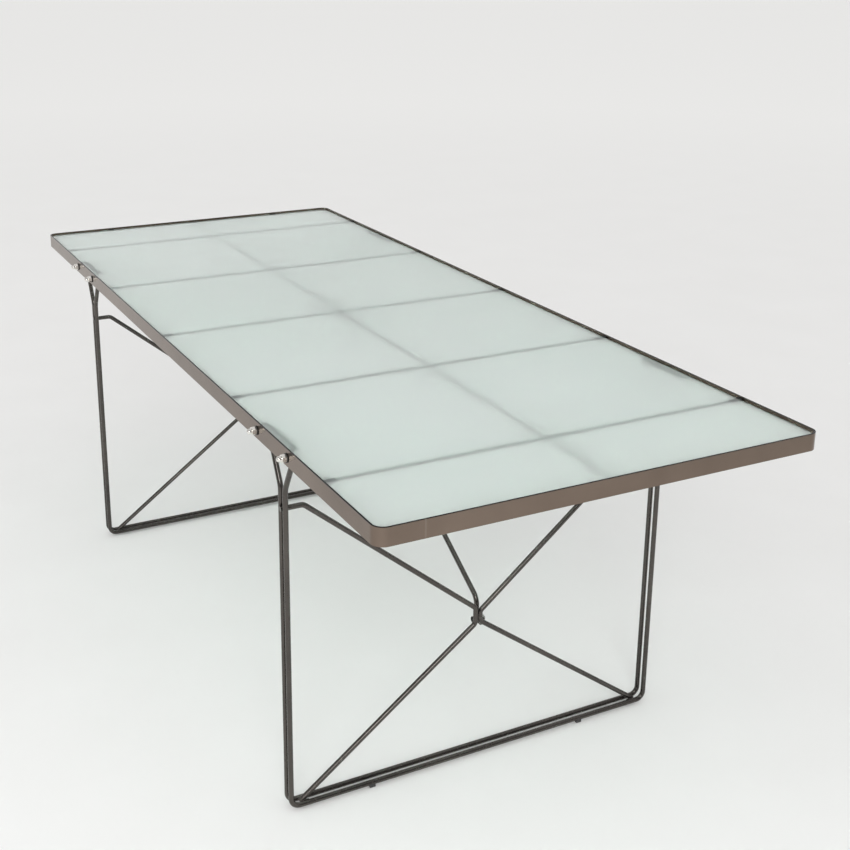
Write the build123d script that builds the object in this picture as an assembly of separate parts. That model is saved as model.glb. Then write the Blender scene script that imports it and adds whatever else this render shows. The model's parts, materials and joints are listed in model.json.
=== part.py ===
from build123d import *
import os

# Table with a frosted glass top in a flat steel band, carried by two bent-rod trestles.
# Millimetres. Origin on the floor under the middle of the top, X along the length, Z up.
# "Left" is -Y and "right" is +Y, as seen by someone standing at the +X end.

# ---- driving dimensions -------------------------------------------------------------------
TABLE_LENGTH = 1980.0
TABLE_WIDTH = 810.0
TABLE_HEIGHT = 720.0

BAND_HEIGHT = 30.0
BAND_THICKNESS = 3.0
BAND_CORNER_RADIUS = 20.0

GLASS_THICKNESS = 6.0
GLASS_RECESS = 4.0  # glass surface below the rim of the band
GLASS_GAP = 3.0  # between glass edge and band
GLASS_ARRIS = 0.8

GRID_ROD_DIAMETER = 8.0  # rods under the glass
CROSS_ROD_COUNT = 5
CROSS_ROD_SPACING = 400.0
PAD_WALL = 2.0  # rubber between glass and cross rod
PAD_WIDTH = 12.0
PAD_LENGTH = 24.0
LIP_RISE = 1.0  # pad lip above the glass surface
LIP_CLEARANCE = 0.4  # lets the glass be lifted past the lips
BUMPER_SPREAD = 236.0  # end bumpers left and right of the middle
BUMPER_WIDTH = 16.0
BUMPER_FOOT = 8.0

ROD_DIAMETER = 9.5  # rods of the trestles
TRESTLE_X = 605.0
LEG_Y = 386.0
GLIDE_HEIGHT = 4.0
FLOOR_BEND_RADIUS = 17.0
FORK_Z = 622.0  # where the two rods of a leg start to spread
FORK_SPREAD = 54.0
FORK_BEND_RADIUS = 30.0

BAR_Z = 704.0  # top bar and its threaded ends
STUD_SPREAD = 65.0
BAR_BEND_RADIUS = 12.0
STUD_DIAMETER = 8.0
STUD_HOLE_DIAMETER = 8.6

BRACE_TOP_Z = 585.5
BRACE_KNEE_Y = 350.0
BRACE_KNEE_RADIUS = 16.0
BRACE_FOOT_Y = 366.0
# the two braces touch here, so they stand off the middle: y, upper bend z and lower bend z
HUB_BENDS = {-1: (-9.5, 307.0, 275.4), 1: (0.0, 299.2, 279.0)}
HUB_BEND_RADIUS = 11.0

STAY_X = 592.0  # lower end of the stay, behind the two braces
STAY_BEND_Z = 318.0
STAY_BEND_RADIUS = 25.0
STAY_NECK_Z = 286.0
HUB_BOLT_Z = 275.0
CENTRE_BOLT_Z = 668.0
EYE_RADIUS = 8.0
EYE_THICKNESS = 5.0
EYE_TAB_LENGTH = 24.0
EYE_OVERLAP = 3.0  # of the round rod into its flattened end
HUB_LUG_THICKNESS = 4.0
HUB_LUG_TOP_Z = 300.0
HUB_LUG_STEP_X = 597.5  # above the eye only this much of the plate is left, clear of the stay
BRACKET_SHEET = 3.0
BRACKET_LENGTH = 22.0
BRACKET_MARGIN = 1.0  # of sheet left below the eyes
PLATE_ROUNDING = 6.0  # lower corners of the bracket, back corner of the lug
PAD_ROUNDING = 3.0
WELD_OVERLAP = 1.0  # how far a piece runs into its neighbour where the two are one

M8_SHANK = 8.0
M8_HOLE_RADIUS = 4.2
M8_ACROSS_FLATS = 13.0
M8_HEAD_HEIGHT = 5.3
M8_NUT_HEIGHT = 6.5
BOLT_PROTRUSION = 2.0
TURNED_CORNER = 0.7  # chamfer on the ends of a hexagon
TURNED_DIAMETER_RATIO = 1.15  # across the turned corners, over across the flats
CAP_HEX_HEIGHT = 7.5
CAP_DOME_RADIUS = 4.9
CAP_DOME_START = 10.9
CAP_THREAD_DEPTH = 11.0
THREAD_CLEARANCE = 1.0  # between the end of a stud and the bottom of its cap nut
WASHER_RADIUS = 8.0
WASHER_THICKNESS = 1.6
GLIDE_SPREAD = 227.0
GLIDE_WIDTH = 11.0
GLIDE_DEPTH = 9.5
GLIDE_LIPS_BELOW_AXIS = 1.0  # of the rod it grips
GLIDE_CHAMFER = 1.0

# ---- levels and places worked out from them -------------------------------------------------
HALF_LENGTH = TABLE_LENGTH / 2
HALF_WIDTH = TABLE_WIDTH / 2
INNER_X = HALF_LENGTH - BAND_THICKNESS
INNER_Y = HALF_WIDTH - BAND_THICKNESS
GLASS_TOP_Z = TABLE_HEIGHT - GLASS_RECESS
GLASS_UNDER_Z = GLASS_TOP_Z - GLASS_THICKNESS
BAND_BOTTOM_Z = TABLE_HEIGHT - BAND_HEIGHT
CROSS_ROD_Z = GLASS_UNDER_Z - PAD_WALL - GRID_ROD_DIAMETER / 2
LONG_ROD_Z = CROSS_ROD_Z - GRID_ROD_DIAMETER
PAD_HEIGHT = GRID_ROD_DIAMETER + 2 * PAD_WALL
LIP_WIDTH = GLASS_GAP - LIP_CLEARANCE
ROD_RADIUS = ROD_DIAMETER / 2
FLOOR_ROD_Z = GLIDE_HEIGHT + ROD_RADIUS
CROSS_ROD_X = [CROSS_ROD_SPACING * (i - (CROSS_ROD_COUNT - 1) / 2) for i in range(CROSS_ROD_COUNT)]
STUD_X = [t * TRESTLE_X + s * STUD_SPREAD for t in (-1, 1) for s in (-1, 1)]
SIDES = {"left": -1, "right": 1}
TRESTLES = {"trestle_1": 1, "trestle_2": -1}


# ---- shared shapes ---------------------------------------------------------------------------
def bent_rod(points, radii, diameter):
    """Round rod along straight runs joined by tangent bends."""
    path = FilletPolyline(*points, radius=radii)
    section = Plane(origin=path @ 0, z_dir=path % 0) * Circle(diameter / 2)
    return sweep(section, path=path)


def straight_rod(start, end, diameter):
    """Round rod between two points."""
    direction = Vector(*end) - Vector(*start)
    rod = Cylinder(diameter / 2, direction.length, align=(Align.CENTER, Align.CENTER, Align.MIN))
    return Plane(origin=start, z_dir=direction) * rod


def rounded_plate(length, width, corner, bottom_z, height):
    """Rounded rectangle raised from bottom_z."""
    outline = RectangleRounded(length, width, corner)
    return Pos(0, 0, bottom_z) * extrude(outline, height)


def hex_prism(across_flats, height):
    """Hexagon along +Z with both ends chamfered round, as on a turned nut."""
    hexagon = extrude(RegularPolygon(across_flats / 2, 6, major_radius=False), height)
    blank_radius = across_flats * TURNED_DIAMETER_RATIO / 2
    blank = Cylinder(blank_radius, height, align=(Align.CENTER, Align.CENTER, Align.MIN))
    return hexagon & chamfer(blank.edges().filter_by(GeomType.CIRCLE), TURNED_CORNER)


def upright_cylinder(radius, height):
    """Cylinder standing on its base."""
    return Cylinder(radius, height, align=(Align.CENTER, Align.CENTER, Align.MIN))


# ---- top -------------------------------------------------------------------------------------
def make_frame_band():
    """Flat bar on edge, bent round the top, with eight holes for the trestle studs."""
    outer = rounded_plate(TABLE_LENGTH, TABLE_WIDTH, BAND_CORNER_RADIUS, BAND_BOTTOM_Z, BAND_HEIGHT)
    inner_radius = BAND_CORNER_RADIUS - BAND_THICKNESS
    inner = rounded_plate(2 * INNER_X, 2 * INNER_Y, inner_radius, BAND_BOTTOM_Z, BAND_HEIGHT)
    band = outer - inner
    for x in STUD_X:
        drill = Rotation(90, 0, 0) * Cylinder(STUD_HOLE_DIAMETER / 2, 2 * TABLE_WIDTH)
        band -= Pos(x, 0, BAR_Z) * drill
    return band


def make_glass():
    """Pane with ground edges."""
    length = 2 * (INNER_X - GLASS_GAP)
    width = 2 * (INNER_Y - GLASS_GAP)
    corner = BAND_CORNER_RADIUS - BAND_THICKNESS - GLASS_GAP
    pane = rounded_plate(length, width, corner, GLASS_UNDER_Z, GLASS_THICKNESS)
    rims = pane.faces().sort_by(Axis.Z)[0].edges() + pane.faces().sort_by(Axis.Z)[-1].edges()
    return chamfer(rims, GLASS_ARRIS)


def make_cross_rod(x):
    """Rod under the glass, welded to the band at both ends."""
    return straight_rod((x, -INNER_Y, CROSS_ROD_Z), (x, INNER_Y, CROSS_ROD_Z), GRID_ROD_DIAMETER)


def make_long_rod():
    """Rod along the middle, under the cross rods."""
    return straight_rod((-INNER_X, 0, LONG_ROD_Z), (INNER_X, 0, LONG_ROD_Z), GRID_ROD_DIAMETER)


def make_glass_pad(x, side):
    """Rubber block pushed on the end of a cross rod: a seat under the glass and a lip at its edge."""
    middle_y = side * (INNER_Y - PAD_LENGTH / 2)
    seat = Pos(x, middle_y, CROSS_ROD_Z) * Box(PAD_WIDTH, PAD_LENGTH, PAD_HEIGHT)
    seat = fillet(seat.edges().filter_by(Axis.Y).group_by(Axis.Z)[0], PAD_ROUNDING)
    lip_bottom = CROSS_ROD_Z
    lip_height = GLASS_TOP_Z + LIP_RISE - lip_bottom
    lip = Box(PAD_WIDTH, LIP_WIDTH, lip_height, align=(Align.CENTER, Align.CENTER, Align.MIN))
    pad = seat + Pos(x, side * (INNER_Y - LIP_WIDTH / 2), lip_bottom) * lip
    return pad - make_cross_rod(x)


def make_end_bumper(end, y):
    """Rubber angle on the short side of the band, under and beside the glass edge."""
    foot_height = PAD_HEIGHT / 2
    foot = Box(BUMPER_FOOT, BUMPER_WIDTH, foot_height, align=(Align.CENTER, Align.CENTER, Align.MAX))
    upright_height = GLASS_THICKNESS + LIP_RISE
    upright = Box(LIP_WIDTH, BUMPER_WIDTH, upright_height, align=(Align.CENTER, Align.CENTER, Align.MIN))
    bumper = Pos(INNER_X - BUMPER_FOOT / 2, 0, GLASS_UNDER_Z) * foot
    bumper += Pos(INNER_X - LIP_WIDTH / 2, 0, GLASS_UNDER_Z) * upright
    placed = bumper if end > 0 else bumper.mirror(Plane.YZ)
    return Pos(0, y, 0) * placed


def make_centre_bracket():
    """Folded strip welded under the long rod; the eyes of both stays hang between its cheeks."""
    top_z = LONG_ROD_Z - GRID_ROD_DIAMETER / 2
    bottom_z = CENTRE_BOLT_Z - EYE_RADIUS - BRACKET_MARGIN
    width = 2 * (EYE_THICKNESS + BRACKET_SHEET)
    block = Box(BRACKET_LENGTH, width, top_z - bottom_z, align=(Align.CENTER, Align.CENTER, Align.MIN))
    block = Pos(0, 0, bottom_z) * block
    block = fillet(block.edges().filter_by(Axis.X).group_by(Axis.Z)[-1], BRACKET_SHEET)
    slot_height = top_z - BRACKET_SHEET - bottom_z
    slot = Box(2 * BRACKET_LENGTH, 2 * EYE_THICKNESS, slot_height,
               align=(Align.CENTER, Align.CENTER, Align.MIN))
    bracket = block - Pos(0, 0, bottom_z) * slot
    bracket = fillet(bracket.edges().filter_by(Axis.Y).group_by(Axis.Z)[0], PLATE_ROUNDING)
    drill = Rotation(90, 0, 0) * Cylinder(M8_HOLE_RADIUS, 2 * width)
    return bracket - Pos(0, 0, CENTRE_BOLT_Z) * drill


# ---- trestles --------------------------------------------------------------------------------
def make_top_bar(trestle, side):
    """U-shaped bar that joins the fork of a leg; its ends are threaded and go out through the band."""
    x = trestle * TRESTLE_X
    points = [
        (x - STUD_SPREAD, side * INNER_Y, BAR_Z),
        (x - STUD_SPREAD, side * LEG_Y, BAR_Z),
        (x + STUD_SPREAD, side * LEG_Y, BAR_Z),
        (x + STUD_SPREAD, side * INNER_Y, BAR_Z),
    ]
    bar = bent_rod(points, [BAR_BEND_RADIUS] * 2, ROD_DIAMETER)
    stud_end = HALF_WIDTH + WASHER_THICKNESS + CAP_THREAD_DEPTH - THREAD_CLEARANCE
    for end in (-1, 1):
        stud_x = x + end * STUD_SPREAD
        start = (stud_x, side * (INNER_Y - WELD_OVERLAP), BAR_Z)
        bar += straight_rod(start, (stud_x, side * stud_end, BAR_Z), STUD_DIAMETER)
    return bar


def make_frame_rod(trestle, face):
    """One bent rod: down the left leg, along the floor and up the right leg. face is +1 for the
    rod nearer the end of the table and -1 for the inner one; their upper ends spread apart."""
    leg_x = trestle * (TRESTLE_X + face * ROD_DIAMETER)
    fork_x = trestle * (TRESTLE_X + face * FORK_SPREAD)
    end_z = BAR_Z - ROD_RADIUS / 2
    points = [
        (fork_x, -LEG_Y, end_z),
        (leg_x, -LEG_Y, FORK_Z),
        (leg_x, -LEG_Y, FLOOR_ROD_Z),
        (leg_x, LEG_Y, FLOOR_ROD_Z),
        (leg_x, LEG_Y, FORK_Z),
        (fork_x, LEG_Y, end_z),
    ]
    radii = [FORK_BEND_RADIUS, FLOOR_BEND_RADIUS, FLOOR_BEND_RADIUS, FORK_BEND_RADIUS]
    rod = bent_rod(points, radii, ROD_DIAMETER)
    for side in SIDES.values():
        rod -= make_top_bar(trestle, side)
    return rod


def make_brace(trestle, side):
    """K-shaped rod: from between the leg rods to the hub and down to between the floor rods."""
    x = trestle * TRESTLE_X
    hub_y, upper_z, lower_z = HUB_BENDS[trestle * side]
    points = [
        (x, side * (LEG_Y + ROD_RADIUS + WELD_OVERLAP), BRACE_TOP_Z),
        (x, side * BRACE_KNEE_Y, BRACE_TOP_Z),
        (x, trestle * hub_y, upper_z),
        (x, trestle * hub_y, lower_z),
        (x, side * BRACE_FOOT_Y, FLOOR_ROD_Z),
    ]
    return bent_rod(points, [BRACE_KNEE_RADIUS, HUB_BEND_RADIUS, HUB_BEND_RADIUS], ROD_DIAMETER)


def make_hub_lug(trestle):
    """Plate welded on edge behind the right-hand brace; the lower eye of the stay is bolted to it."""
    back_x = STAY_X - EYE_RADIUS
    front_x = TRESTLE_X - ROD_RADIUS + 2 * WELD_OVERLAP
    bottom_z = HUB_BOLT_Z - EYE_RADIUS
    shoulder_z = STAY_NECK_Z - WELD_OVERLAP
    outline = Polyline(
        (front_x, bottom_z), (back_x, bottom_z), (back_x, shoulder_z),
        (HUB_LUG_STEP_X, shoulder_z), (HUB_LUG_STEP_X, HUB_LUG_TOP_Z), (front_x, HUB_LUG_TOP_Z),
        close=True)
    face = make_face(Plane.XZ * outline)
    lug = Pos(0, EYE_THICKNESS / 2, 0) * extrude(face, HUB_LUG_THICKNESS, dir=(0, 1, 0))
    lug = fillet(lug.edges().filter_by(Axis.Y).group_by(Axis.X)[0], PLATE_ROUNDING)
    drill = Rotation(90, 0, 0) * Cylinder(M8_HOLE_RADIUS, 6 * HUB_LUG_THICKNESS)
    lug -= Pos(STAY_X, 0, HUB_BOLT_Z) * drill
    lug -= make_brace(1, 1)
    return lug if trestle > 0 else Rotation(0, 0, 180) * lug


def make_stay(trestle):
    """Rod from the hub up to the middle of the top, with a flattened eye at each end."""
    slope = Vector(STAY_X, 0, STAY_BEND_Z - CENTRE_BOLT_Z).normalized()
    upper_end = Vector(0, 0, CENTRE_BOLT_Z) + slope * (EYE_TAB_LENGTH - EYE_OVERLAP)
    points = [(STAY_X, 0, STAY_NECK_Z), (STAY_X, 0, STAY_BEND_Z), tuple(upper_end)]
    stay = bent_rod(points, [STAY_BEND_RADIUS], ROD_DIAMETER)
    # lower eye, on the centre line of the rod
    lower = Plane(origin=(STAY_X, 0, HUB_BOLT_Z), x_dir=(0, 0, 1), z_dir=(0, 1, 0))
    neck_length = STAY_NECK_Z + EYE_OVERLAP - HUB_BOLT_Z
    neck = Box(neck_length, ROD_DIAMETER, EYE_THICKNESS, align=(Align.MIN, Align.CENTER, Align.CENTER))
    stay += lower * (Cylinder(EYE_RADIUS, EYE_THICKNESS) + neck)
    # upper eye, set off to one side so that the two stays lie beside each other
    upper = Plane(origin=(0, EYE_THICKNESS / 2, CENTRE_BOLT_Z), x_dir=slope, z_dir=(0, 1, 0))
    tab_size = (EYE_TAB_LENGTH, ROD_DIAMETER, EYE_THICKNESS)
    tab = Box(*tab_size, align=(Align.MIN, Align.CENTER, Align.CENTER))
    stay += upper * (Cylinder(EYE_RADIUS, EYE_THICKNESS) + tab)
    drill = Cylinder(M8_HOLE_RADIUS, 4 * EYE_THICKNESS)
    stay -= lower * drill
    stay -= upper * drill
    return stay if trestle > 0 else Rotation(0, 0, 180) * stay


# ---- fasteners and feet ----------------------------------------------------------------------
def make_cap_nut():
    """Domed nut along +Z, seated at z = 0."""
    nut = hex_prism(M8_ACROSS_FLATS, CAP_HEX_HEIGHT) + upright_cylinder(CAP_DOME_RADIUS, CAP_DOME_START)
    nut += Pos(0, 0, CAP_DOME_START) * Sphere(CAP_DOME_RADIUS)
    below = Pos(0, 0, -CAP_DOME_RADIUS) * Cylinder(2 * CAP_DOME_RADIUS, 2 * CAP_DOME_RADIUS)
    return nut - below - upright_cylinder(STUD_DIAMETER / 2, CAP_THREAD_DEPTH)


def make_washer():
    """Flat ring along +Z, seated at z = 0."""
    return upright_cylinder(WASHER_RADIUS, WASHER_THICKNESS) - upright_cylinder(
        M8_HOLE_RADIUS, WASHER_THICKNESS)


def make_bolt(grip):
    """Hexagon bolt along +Z: its head is below z = 0, and grip is the clamped thickness."""
    head = Pos(0, 0, -M8_HEAD_HEIGHT) * hex_prism(M8_ACROSS_FLATS, M8_HEAD_HEIGHT)
    return head + upright_cylinder(M8_SHANK / 2, grip + M8_NUT_HEIGHT + BOLT_PROTRUSION)


def make_plain_nut():
    """Hexagon nut along +Z, seated at z = 0."""
    return hex_prism(M8_ACROSS_FLATS, M8_NUT_HEIGHT) - upright_cylinder(M8_SHANK / 2, M8_NUT_HEIGHT)


def make_glide(trestle, side):
    """Nylon clip under an outer floor rod, open upward so that it snaps on."""
    x = trestle * (TRESTLE_X + ROD_DIAMETER)
    y = side * GLIDE_SPREAD
    height = FLOOR_ROD_Z - GLIDE_LIPS_BELOW_AXIS
    block = Box(GLIDE_DEPTH, GLIDE_WIDTH, height, align=(Align.CENTER, Align.CENTER, Align.MIN))
    block = Pos(x, y, 0) * chamfer(block.edges().group_by(Axis.Z)[0], GLIDE_CHAMFER)
    rod = straight_rod((x, y - GLIDE_WIDTH, FLOOR_ROD_Z), (x, y + GLIDE_WIDTH, FLOOR_ROD_Z), ROD_DIAMETER)
    return block - rod


# ---- every node ------------------------------------------------------------------------------
nodes = {
    "glass_top": make_glass(),
    "frame_band": make_frame_band(),
    "long_rod": make_long_rod(),
    "centre_bracket": make_centre_bracket(),
}
for number, rod_x in enumerate(CROSS_ROD_X, 1):
    nodes[f"cross_rod_{number}"] = make_cross_rod(rod_x)
for side_name, side in SIDES.items():
    nodes[f"glass_pads_{side_name}"] = Compound([make_glass_pad(x, side) for x in CROSS_ROD_X])
nodes["end_bumpers"] = Compound(
    [make_end_bumper(end, y) for end in (-1, 1) for y in (-BUMPER_SPREAD, BUMPER_SPREAD)])

for trestle_name, trestle in TRESTLES.items():
    nodes[f"{trestle_name}_outer_frame_rod"] = make_frame_rod(trestle, 1)
    nodes[f"{trestle_name}_inner_frame_rod"] = make_frame_rod(trestle, -1)
    nodes[f"{trestle_name}_stay"] = make_stay(trestle)
    nodes[f"{trestle_name}_hub_lug"] = make_hub_lug(trestle)
    for side_name, side in SIDES.items():
        nodes[f"{trestle_name}_{side_name}_brace"] = make_brace(trestle, side)
        nodes[f"{trestle_name}_{side_name}_top_bar"] = make_top_bar(trestle, side)

cap_nut = make_cap_nut()
washer = make_washer()
cap_nuts = []
cap_nut_washers = []
for side in SIDES.values():
    for x in STUD_X:
        cap_nut_washers.append(Plane(origin=(x, side * HALF_WIDTH, BAR_Z), z_dir=(0, side, 0)) * washer)
        seat_y = side * (HALF_WIDTH + WASHER_THICKNESS)
        cap_nuts.append(Plane(origin=(x, seat_y, BAR_Z), z_dir=(0, side, 0)) * cap_nut)
nodes["cap_nuts"] = Compound(cap_nuts)
nodes["cap_nut_washers"] = Compound(cap_nut_washers)

hub_grip = EYE_THICKNESS + HUB_LUG_THICKNESS + WASHER_THICKNESS
hub_bolts = []
hub_washers = []
hub_nuts = []
for trestle in TRESTLES.values():
    turned = Rotation(0, 0, 0 if trestle > 0 else 180)
    lug_face = EYE_THICKNESS / 2 + HUB_LUG_THICKNESS
    head_seat = Plane(origin=(STAY_X, -EYE_THICKNESS / 2, HUB_BOLT_Z), z_dir=(0, 1, 0))
    washer_seat = Plane(origin=(STAY_X, lug_face, HUB_BOLT_Z), z_dir=(0, 1, 0))
    nut_seat = Plane(origin=(STAY_X, lug_face + WASHER_THICKNESS, HUB_BOLT_Z), z_dir=(0, 1, 0))
    hub_bolts.append(turned * head_seat * make_bolt(hub_grip))
    hub_washers.append(turned * washer_seat * washer)
    hub_nuts.append(turned * nut_seat * make_plain_nut())
nodes["hub_bolts"] = Compound(hub_bolts)
nodes["hub_washers"] = Compound(hub_washers)
nodes["hub_nuts"] = Compound(hub_nuts)

cheek_face = EYE_THICKNESS + BRACKET_SHEET
head_seat = Plane(origin=(0, -cheek_face, CENTRE_BOLT_Z), z_dir=(0, 1, 0))
nut_side = Plane(origin=(0, cheek_face, CENTRE_BOLT_Z), z_dir=(0, 1, 0))
nodes["centre_bolt"] = head_seat * make_bolt(2 * cheek_face)
nodes["centre_nut"] = nut_side * make_plain_nut()
nodes["foot_glides"] = Compound(
    [make_glide(t, side) for t in TRESTLES.values() for side in (-1, 1)])

os.makedirs("parts", exist_ok=True)
for name, shape in nodes.items():
    export_step(shape, f"parts/{name}.step")
    print(f"{name:34s} solids {len(shape.solids()):2d}  volume {shape.volume / 1000:9.2f} cm3")
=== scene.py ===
import json
import math

import bpy
from mathutils import Matrix, Vector, noise


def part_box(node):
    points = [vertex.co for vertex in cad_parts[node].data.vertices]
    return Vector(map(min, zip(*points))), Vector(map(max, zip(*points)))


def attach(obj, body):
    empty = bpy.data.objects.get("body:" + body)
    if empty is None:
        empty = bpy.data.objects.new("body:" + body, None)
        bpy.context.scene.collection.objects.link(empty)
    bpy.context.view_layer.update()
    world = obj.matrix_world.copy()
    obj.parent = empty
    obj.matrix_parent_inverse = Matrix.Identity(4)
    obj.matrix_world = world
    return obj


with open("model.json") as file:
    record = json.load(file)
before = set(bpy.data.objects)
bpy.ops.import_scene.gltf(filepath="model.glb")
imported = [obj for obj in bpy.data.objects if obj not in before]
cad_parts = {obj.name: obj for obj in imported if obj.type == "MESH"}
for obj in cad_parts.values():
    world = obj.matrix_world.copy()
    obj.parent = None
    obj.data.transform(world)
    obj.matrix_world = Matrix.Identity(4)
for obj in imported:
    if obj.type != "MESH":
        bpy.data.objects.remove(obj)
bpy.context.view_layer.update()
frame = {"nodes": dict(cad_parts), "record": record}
NODES = frame["nodes"]

# ---- places taken from the frame -------------------------------------------------------------
band_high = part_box("frame_band")[1]
glass_low, glass_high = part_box("glass_top")
BAND_TOP = band_high.z
PANE_UNDERSIDE = glass_low.z
PANE_THICKNESS = glass_high.z - glass_low.z

# ---- sizes of the part, in metres ------------------------------------------------------------
ROD_RADIUS = 0.00475  # of the rods of the trestles
GRID_RADIUS = 0.004  # of the rods under the glass
CROSS_RODS = 5
CROSS_ROD_PITCH = 0.4
TRESTLE_X = 0.605
LEG_Y = 0.386
BAR_Z = 0.704
FLOOR_ROD_Z = 0.00875
BRACE_TOP_Z = 0.5855


# ---- node helpers ----------------------------------------------------------------------------
class Tree:
    """Short forms for building one material's node tree."""

    def __init__(self, name):
        self.material = bpy.data.materials.new(name)
        self.material.use_nodes = True
        self.nodes = self.material.node_tree.nodes
        self.links = self.material.node_tree.links
        self.bsdf = self.nodes["Principled BSDF"]
        self.place = self.add("ShaderNodeTexCoord").outputs["Object"]

    def add(self, kind, **settings):
        node = self.nodes.new(kind)
        for key, value in settings.items():
            setattr(node, key, value)
        return node

    def link(self, source, target):
        self.links.new(source, target)

    def set(self, **values):
        """Plain values on the shader's own sockets; spaces in a name are written as underscores."""
        for key, value in values.items():
            self.bsdf.inputs[key.replace("_", " ")].default_value = value

    def noise(self, scale, detail=3.0, roughness=0.55):
        node = self.add("ShaderNodeTexNoise")
        node.inputs["Scale"].default_value = scale
        node.inputs["Detail"].default_value = detail
        node.inputs["Roughness"].default_value = roughness
        self.link(self.place, node.inputs["Vector"])
        return node.outputs["Fac"]

    def ramp(self, factor, stops):
        node = self.add("ShaderNodeValToRGB")
        elements = node.color_ramp.elements
        while len(elements) < len(stops):
            elements.new(0.5)
        for element, (position, colour) in zip(elements, stops):
            element.position = position
            element.color = (*colour, 1.0)
        self.link(factor, node.inputs["Fac"])
        return node.outputs["Color"]

    def remap(self, factor, low, high, start=0.3, end=0.7):
        node = self.add("ShaderNodeMapRange")
        node.inputs["From Min"].default_value = start
        node.inputs["From Max"].default_value = end
        node.inputs["To Min"].default_value = low
        node.inputs["To Max"].default_value = high
        self.link(factor, node.inputs["Value"])
        return node.outputs["Result"]

    def mix(self, factor, first, second):
        """Colour: first is a socket, second a plain colour."""
        node = self.add("ShaderNodeMix", data_type="RGBA")
        self.link(factor, node.inputs["Factor"])
        self.link(first, node.inputs[6])
        node.inputs[7].default_value = second
        return node.outputs[2]

    def bump(self, height, strength, distance):
        node = self.add("ShaderNodeBump")
        node.inputs["Strength"].default_value = strength
        node.inputs["Distance"].default_value = distance
        self.link(height, node.inputs["Height"])
        self.link(node.outputs["Normal"], self.bsdf.inputs["Normal"])


# ---- materials -------------------------------------------------------------------------------
ROD_DARK = (0.075, 0.069, 0.064)
ROD_LIGHT = (0.115, 0.104, 0.094)
BAND_DARK = (0.165, 0.128, 0.103)
BAND_LIGHT = (0.215, 0.168, 0.136)
# painted shade: near black laid on the top edge of the band, for the dark line along the rim
RIM_PAINTED_SHADE = (0.012, 0.011, 0.010, 1.0)
GROUND_SEAM = (0.27, 0.225, 0.19, 1.0)
SEAM_Y = 0.328  # distance of the seam from the middle, towards -Y
SEAM_COVER = 0.55  # how far the ground steel hides the lacquer
GLASS_GREEN = (0.82, 0.968, 0.90)
GLASS_PALE = (0.88, 0.982, 0.94)
ETCHED = 1.0  # roughness of the underside of the pane
POLISHED = 0.05  # and of its other faces
FINE = 0.0002  # depth of the fine reliefs, in metres


def lacquered_steel(name, dark, light, roughness, coat):
    """Metallic lacquer: fine flake, slow colour drift, faint scuffs and an orange-peel skin."""
    t = Tree(name)
    t.set(Metallic=1.0, Coat_Weight=coat, Coat_Roughness=0.12)
    drift = t.noise(5.0, 5.0)
    t.colour = t.ramp(drift, [(0.32, dark), (0.68, light)])
    t.link(t.colour, t.bsdf.inputs["Base Color"])
    scuffs = t.noise(60.0, 6.0, 0.7)
    t.link(t.remap(scuffs, roughness - 0.04, roughness + 0.07), t.bsdf.inputs["Roughness"])
    t.bump(t.noise(900.0, 2.0), 0.12, FINE)
    return t


def rod_lacquer():
    """The lacquer of the trestles and of the rods under the glass."""
    return lacquered_steel("gunmetal_lacquer", ROD_DARK, ROD_LIGHT, 0.24, 0.15).material


def band_lacquer():
    """As on the rods but glossier and browner; the top edge of the strip is painted nearly black, a painted
    shade for the dark line along the rim, and the strip is welded to a ring on one short side, where a
    ground seam shows."""
    t = lacquered_steel("band_lacquer", BAND_DARK, BAND_LIGHT, 0.13, 0.0)
    place = t.add("ShaderNodeSeparateXYZ")
    t.link(t.place, place.inputs["Vector"])
    # painted shade: the top of the band turns nearly black
    rim_shade_mask = t.remap(place.outputs["Z"], 0.0, 1.0, BAND_TOP - 0.0007, BAND_TOP - 0.0003)
    rim_shaded_colour = t.mix(rim_shade_mask, t.colour, RIM_PAINTED_SHADE)
    off_seam = t.add("ShaderNodeMath", operation="ABSOLUTE")
    shifted = t.add("ShaderNodeMath", operation="ADD")
    shifted.inputs[1].default_value = SEAM_Y
    t.link(place.outputs["Y"], shifted.inputs[0])
    t.link(shifted.outputs[0], off_seam.inputs[0])
    seam = t.remap(off_seam.outputs[0], SEAM_COVER, 0.0, 0.0004, 0.0022)
    on_end = t.remap(place.outputs["X"], 0.0, 1.0, 0.98, 0.985)
    both = t.add("ShaderNodeMath", operation="MULTIPLY")
    t.link(seam, both.inputs[0])
    t.link(on_end, both.inputs[1])
    t.link(t.mix(both.outputs[0], rim_shaded_colour, GROUND_SEAM), t.bsdf.inputs["Base Color"])
    return t.material


def frosted_glass():
    """Pale green float glass, polished above and etched below, so that only what nearly touches it
    from below shows through, as a soft shadow."""
    t = Tree("etched_glass_pane")
    t.set(IOR=1.5, Transmission_Weight=0.55)
    t.set(Subsurface_Weight=1.0, Subsurface_Radius=(1.0, 1.0, 1.0), Subsurface_Scale=0.35)
    tint = t.noise(1.6, 3.0)
    t.link(t.ramp(tint, [(0.3, GLASS_GREEN), (0.7, GLASS_PALE)]), t.bsdf.inputs["Base Color"])
    place = t.add("ShaderNodeSeparateXYZ")
    t.link(t.place, place.inputs["Vector"])
    surface = t.remap(place.outputs["Z"], ETCHED, POLISHED, PANE_UNDERSIDE,
                      PANE_UNDERSIDE + 0.1 * PANE_THICKNESS)
    t.link(surface, t.bsdf.inputs["Roughness"])
    return t.material


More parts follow.
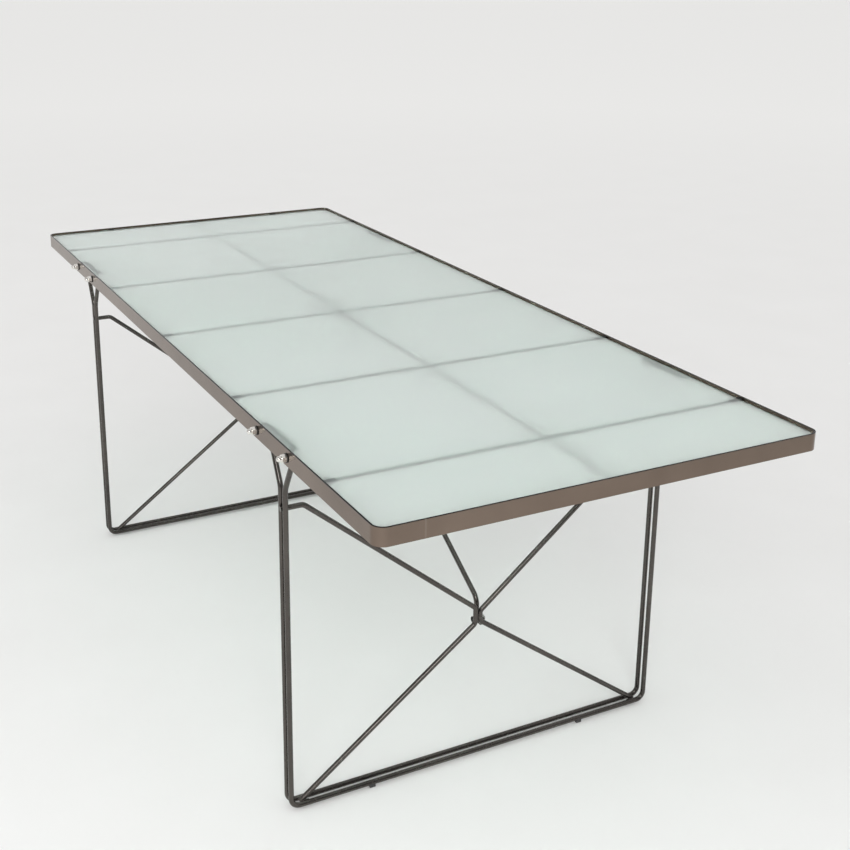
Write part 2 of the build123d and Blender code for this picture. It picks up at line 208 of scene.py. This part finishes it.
def worn(name, dark, light, roughness, metallic, grain, relief):
    """A small part: mottled colour, uneven gloss and a fine relief."""
    t = Tree(name)
    t.set(Metallic=metallic)
    mottle = t.noise(grain, 4.0, 0.6)
    t.link(t.ramp(mottle, [(0.3, dark), (0.7, light)]), t.bsdf.inputs["Base Color"])
    t.link(t.remap(t.noise(grain * 2.3, 3.0), roughness - 0.06, roughness + 0.08),
           t.bsdf.inputs["Roughness"])
    t.bump(t.noise(grain * 6.0, 2.0), relief, FINE)
    return t.material


MATERIALS = {
    "rod_steel": rod_lacquer(),
    "band_steel": band_lacquer(),
    "frosted_glass": frosted_glass(),
    "nickel": worn("nickel_plate", (0.80, 0.78, 0.73), (0.92, 0.90, 0.87), 0.2, 1.0, 160.0, 0.1),
    # the washer is coloured near black, where a dark gap shows between the cap nut and the thin nut at the
    # band
    "dark_washer": worn("near_black_washer", (0.02, 0.02, 0.02), (0.06, 0.055, 0.05), 0.42, 0.6, 200.0, 0.3),
    "rubber": worn("black_rubber", (0.012, 0.014, 0.013), (0.03, 0.033, 0.031), 0.62, 0.0, 240.0, 0.5),
    "nylon": worn("black_nylon", (0.02, 0.02, 0.021), (0.045, 0.044, 0.043), 0.42, 0.0, 220.0, 0.25),
}
SLOT_OF = {s["node"]: s["material_slot"] for s in frame["record"]["subparts"]}
for node_name, node_object in NODES.items():
    node_object.data.materials.clear()
    node_object.data.materials.append(MATERIALS[SLOT_OF[node_name]])

# ---- weld beads ------------------------------------------------------------------------------
BEAD = 0.0017  # radius of most beads
END_BEAD = 0.0012  # at the upper ends of the braces
CROSS_BEAD = 0.0014  # where the cross rods lie on the long rod
HUB_BEAD = 0.0015
LUG_BEAD = 0.0016
BAND_INSET = 0.0035  # of a collar from the outside of the band
LONG_ROD_DROP = 0.014  # of the long rod's middle below the pane
CROSS_TACK_Z = 0.7
CROSS_TACK_SIDE = 0.0034  # of a tack from the middle of the cross rod
CROSS_TACK_HALF = 0.006  # half its length
BAR_SPREAD = 0.065  # of the two ends of a top bar from the trestle
BRACE_END_INSET = 0.0032
FLOOR_TACK = (0.350, 0.366)  # Y at which a tack on the floor rods starts and ends
FLOOR_TACK_RISE = 0.0027
HUB_TACK = (0.284, 0.296)  # Z at which the tacks at the hub start and end
HUB_TACK_SIDE = 0.0032
LUG_TACK_X = 0.6016
LUG_TACK_Y = 0.0052


class Shape:
    """Collects vertices and faces of one piece."""

    def __init__(self):
        self.points = []
        self.faces = []

    def rings(self, rings, closed):
        """Skin over rings of equal length; closed joins the last ring to the first."""
        base = len(self.points)
        count = len(rings[0])
        for ring in rings:
            self.points.extend(ring)
        for i in range(len(rings) if closed else len(rings) - 1):
            here = base + i * count
            there = base + (i + 1) % len(rings) * count
            for j in range(count):
                k = (j + 1) % count
                self.faces.append((here + j, here + k, there + k, there + j))
        if not closed:
            self.faces.append(tuple(range(base + count - 1, base - 1, -1)))
            last = base + (len(rings) - 1) * count
            self.faces.append(tuple(range(last, last + count)))

    def finish(self, name, slot):
        mesh = bpy.data.meshes.new(name)
        mesh.from_pydata([tuple(p) for p in self.points], [], self.faces)
        for polygon in mesh.polygons:
            polygon.use_smooth = True
        mesh.materials.append(MATERIALS[slot])
        piece = bpy.data.objects.new(name, mesh)
        bpy.context.scene.collection.objects.link(piece)
        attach(piece, "frame")


def axes_across(axis):
    """Unit vector along the axis and two at right angles to it."""
    axis = Vector(axis).normalized()
    helper = Vector((0, 0, 1)) if abs(axis.z) < 0.9 else Vector((1, 0, 0))
    first = axis.cross(helper).normalized()
    return axis, first, axis.cross(first)


def collar(shape, centre, axis, radius, bead):
    """Rippled ring bead laid round a rod."""
    steps = 48
    sides = 8
    ripples = 15.0
    axis, first, second = axes_across(axis)
    centre = Vector(centre)
    rings = []
    for i in range(steps):
        turn = math.tau * i / steps
        out = first * math.cos(turn) + second * math.sin(turn)
        unevenness = 0.2 * noise.noise(centre * 40.0 + out * 2.0)
        reach = bead * (1.0 + 0.16 * math.sin(turn * ripples) + unevenness)
        ring = []
        for j in range(sides):
            angle = math.tau * j / sides
            outwards = out * (radius + reach * math.cos(angle))
            ring.append(centre + outwards + axis * (reach * math.sin(angle)))
        rings.append(ring)
    shape.rings(rings, True)


def tack(shape, start, end, bead):
    """Tapered, rippled bead laid in the groove between two rods."""
    steps = 22
    sides = 10
    ripples = 6.0
    start = Vector(start)
    end = Vector(end)
    _, first, second = axes_across(end - start)
    rings = []
    for i in range(steps + 1):
        share = i / steps
        swell = bead * (0.25 + 0.75 * math.sin(math.pi * share) ** 0.5)
        swell *= 1.0 + 0.14 * math.sin(share * math.tau * ripples)
        middle = start.lerp(end, share)
        rings.append([middle + (first * math.cos(a) + second * math.sin(a)) * swell
                      for a in (math.tau * j / sides for j in range(sides))])
    shape.rings(rings, False)


grid_welds = Shape()
for end in (-1, 1):
    long_rod_end = (end * (band_high.x - BAND_INSET), 0, glass_low.z - LONG_ROD_DROP)
    collar(grid_welds, long_rod_end, (1, 0, 0), GRID_RADIUS, BEAD)
for rod in range(CROSS_RODS):
    x = -CROSS_ROD_PITCH * (CROSS_RODS - 1) / 2 + CROSS_ROD_PITCH * rod
    for side in (-1, 1):
        groove = x + side * CROSS_TACK_SIDE
        tack(grid_welds, (groove, -CROSS_TACK_HALF, CROSS_TACK_Z),
             (groove, CROSS_TACK_HALF, CROSS_TACK_Z), CROSS_BEAD)
grid_welds.finish("grid_weld_beads", "rod_steel")

for trestle in (-1, 1):
    number = 1 if trestle > 0 else 2
    welds = Shape()
    middle = trestle * TRESTLE_X
    for side in (-1, 1):
        # ends of the bent top bars, where they run into the band
        for spread in (-BAR_SPREAD, BAR_SPREAD):
            bar_end = (middle + spread, side * (band_high.y - BAND_INSET), BAR_Z)
            collar(welds, bar_end, (0, 1, 0), ROD_RADIUS, BEAD)
        # upper end of the brace, gripped between the leg rods
        brace_end = (middle, side * LEG_Y - side * BRACE_END_INSET, BRACE_TOP_Z)
        collar(welds, brace_end, (0, 1, 0), ROD_RADIUS, END_BEAD)
        # lower end of the brace, between the floor rods
        for face in (-1, 1):
            groove = middle + face * ROD_RADIUS
            start, stop = [(groove, side * y, FLOOR_ROD_Z + FLOOR_TACK_RISE) for y in FLOOR_TACK]
            tack(welds, start, stop, BEAD)
    # lug of the stay, against the brace beside it
    start, stop = [(trestle * LUG_TACK_X, trestle * LUG_TACK_Y, z) for z in HUB_TACK]
    tack(welds, start, stop, LUG_BEAD)
    # hub, where the two braces touch
    for face in (-1, 1):
        groove = middle + face * HUB_TACK_SIDE
        start, stop = [(groove, -trestle * ROD_RADIUS, z) for z in HUB_TACK]
        tack(welds, start, stop, HUB_BEAD)
    welds.finish(f"trestle_{number}_weld_beads", "rod_steel")

# ---- floor -----------------------------------------------------------------------------------
FLOOR_HALF = 60.0
PAINT_DARK = (0.848, 0.842, 0.832)
PAINT_LIGHT = (0.866, 0.861, 0.852)
# painted light: the floor is painted lighter away from the table, for a brighter far backdrop
FAR_FLOOR_PAINTED_LIGHT = (0.96, 0.955, 0.94, 1.0)
PAINTED_LIGHT_FADE = (1.5, 9.0)  # distances over which the near paint gives way to the far, lighter one: painted light

floor_mesh = bpy.data.meshes.new("studio_floor")
floor_mesh.from_pydata(
    [(-FLOOR_HALF, -FLOOR_HALF, 0), (FLOOR_HALF, -FLOOR_HALF, 0), (FLOOR_HALF, FLOOR_HALF, 0),
     (-FLOOR_HALF, FLOOR_HALF, 0)], [], [(0, 1, 2, 3)])
floor = bpy.data.objects.new("studio_floor", floor_mesh)
bpy.context.scene.collection.objects.link(floor)
paint = Tree("floor_paint")
paint.set(Roughness=0.75)
from_middle = paint.add("ShaderNodeVectorMath", operation="LENGTH")
paint.link(paint.place, from_middle.inputs[0])
painted_light_mask = paint.remap(from_middle.outputs["Value"], 0.0, 1.0, *PAINTED_LIGHT_FADE)
near_paint = paint.ramp(paint.noise(3.0), [(0.3, PAINT_DARK), (0.7, PAINT_LIGHT)])
paint.link(paint.mix(painted_light_mask, near_paint, FAR_FLOOR_PAINTED_LIGHT), paint.bsdf.inputs["Base Color"])
floor_mesh.materials.append(paint.material)

# ---- light -----------------------------------------------------------------------------------
FILL_SIDE = Vector((0.78, -0.58, 0.22))
FILL = (0.70, 1.78)  # strength of the room away from and towards that side
WALL_SIDE = Vector((-0.6, 0.8, 0.0))
MIRRORED = (0.16, 0.95)  # what polished metal sees away from and towards the pale walls
PALE_ROOM = 0.93
ROOM_TINT = (1.0, 0.997, 0.985, 1.0)

world = bpy.data.worlds.new("studio")
bpy.context.scene.world = world
world.use_nodes = True
sky = world.node_tree
path = sky.nodes.new("ShaderNodeLightPath")
direction = sky.nodes.new("ShaderNodeTexCoord").outputs["Generated"]


def room_strength(side, start, end, levels):
    """Background whose strength changes with how far a direction leans towards one side."""
    lean = sky.nodes.new("ShaderNodeVectorMath")
    lean.operation = "DOT_PRODUCT"
    lean.inputs[1].default_value = side
    sky.links.new(direction, lean.inputs[0])
    fade = sky.nodes.new("ShaderNodeMapRange")
    fade.inputs["From Min"].default_value = start
    fade.inputs["From Max"].default_value = end
    fade.inputs["To Min"].default_value = levels[0]
    fade.inputs["To Max"].default_value = levels[1]
    sky.links.new(lean.outputs["Value"], fade.inputs["Value"])
    background = sky.nodes.new("ShaderNodeBackground")
    sky.links.new(fade.outputs["Result"], background.inputs["Strength"])
    return background.outputs[0]


def choose(factor, first, second):
    """First background where the factor is 0, second where it is 1."""
    node = sky.nodes.new("ShaderNodeMixShader")
    sky.links.new(factor, node.inputs["Fac"])
    sky.links.new(first, node.inputs[1])
    sky.links.new(second, node.inputs[2])
    return node.outputs[0]


mirrored = sky.nodes.new("ShaderNodeMath")
mirrored.operation = "MULTIPLY"
sky.links.new(path.outputs["Is Glossy Ray"], mirrored.inputs[0])
sky.links.new(path.outputs["Is Reflection Ray"], mirrored.inputs[1])
pale = sky.nodes["Background"]
pale.inputs["Color"].default_value = ROOM_TINT
pale.inputs["Strength"].default_value = PALE_ROOM
surroundings = choose(mirrored.outputs[0], room_strength(FILL_SIDE, -0.2, 1.0, FILL),
                      room_strength(WALL_SIDE, -0.35, 0.3, MIRRORED))
surroundings = choose(path.outputs["Is Camera Ray"], surroundings, pale.outputs[0])
sky.links.new(surroundings, sky.nodes["World Output"].inputs["Surface"])
bpy.context.scene.view_settings.view_transform = "Standard"


def soft_light(name, place, target, size, power):
    """Rectangular area light aimed at a point; power in watts."""
    light = bpy.data.lights.new(name, "AREA")
    light.shape = "RECTANGLE"
    light.size, light.size_y = size
    light.energy = power
    holder = bpy.data.objects.new(name, light)
    holder.location = place
    holder.rotation_euler = (Vector(target) - Vector(place)).to_track_quat("-Z", "Y").to_euler()
    bpy.context.scene.collection.objects.link(holder)


soft_light("window_light", place=(0.5, -5.0, 3.4), target=(0.0, 0.0, 0.4), size=(3.5, 2.5), power=35.0)
soft_light("key_light", place=(4.3, -2.1, 2.9), target=(0.5, 0.0, 0.3), size=(2.0, 1.5), power=75.0)

# ---- camera ----------------------------------------------------------------------------------
CAMERA_PLACE = Vector((2.4163, -1.1106, 1.4997))
CAMERA_HEADING = math.radians(153.213)  # of the line of sight, from +X towards +Y
CAMERA_PITCH = math.radians(16.893)  # downwards
CAMERA_ROLL = math.radians(0.265)
FOCAL_LENGTH = 54.45  # mm
SENSOR = 36.0  # mm
SHIFT = (0.0451, -0.1219)

forward = Vector((math.cos(CAMERA_HEADING) * math.cos(CAMERA_PITCH),
                  math.sin(CAMERA_HEADING) * math.cos(CAMERA_PITCH), -math.sin(CAMERA_PITCH)))
right = Vector((math.sin(CAMERA_HEADING), -math.cos(CAMERA_HEADING), 0.0))
up = right.cross(forward)
rolled_right = right * math.cos(CAMERA_ROLL) + up * math.sin(CAMERA_ROLL)
rolled_up = up * math.cos(CAMERA_ROLL) - right * math.sin(CAMERA_ROLL)
camera_data = bpy.data.cameras.new("photo_camera")
camera_data.sensor_width = SENSOR
camera_data.lens = FOCAL_LENGTH
camera_data.shift_x, camera_data.shift_y = SHIFT
camera = bpy.data.objects.new("photo_camera", camera_data)
axes = Matrix((rolled_right, rolled_up, -forward)).transposed()
camera.matrix_world = Matrix.Translation(CAMERA_PLACE) @ axes.to_4x4()
bpy.context.scene.collection.objects.link(camera)
bpy.context.scene.camera = camera
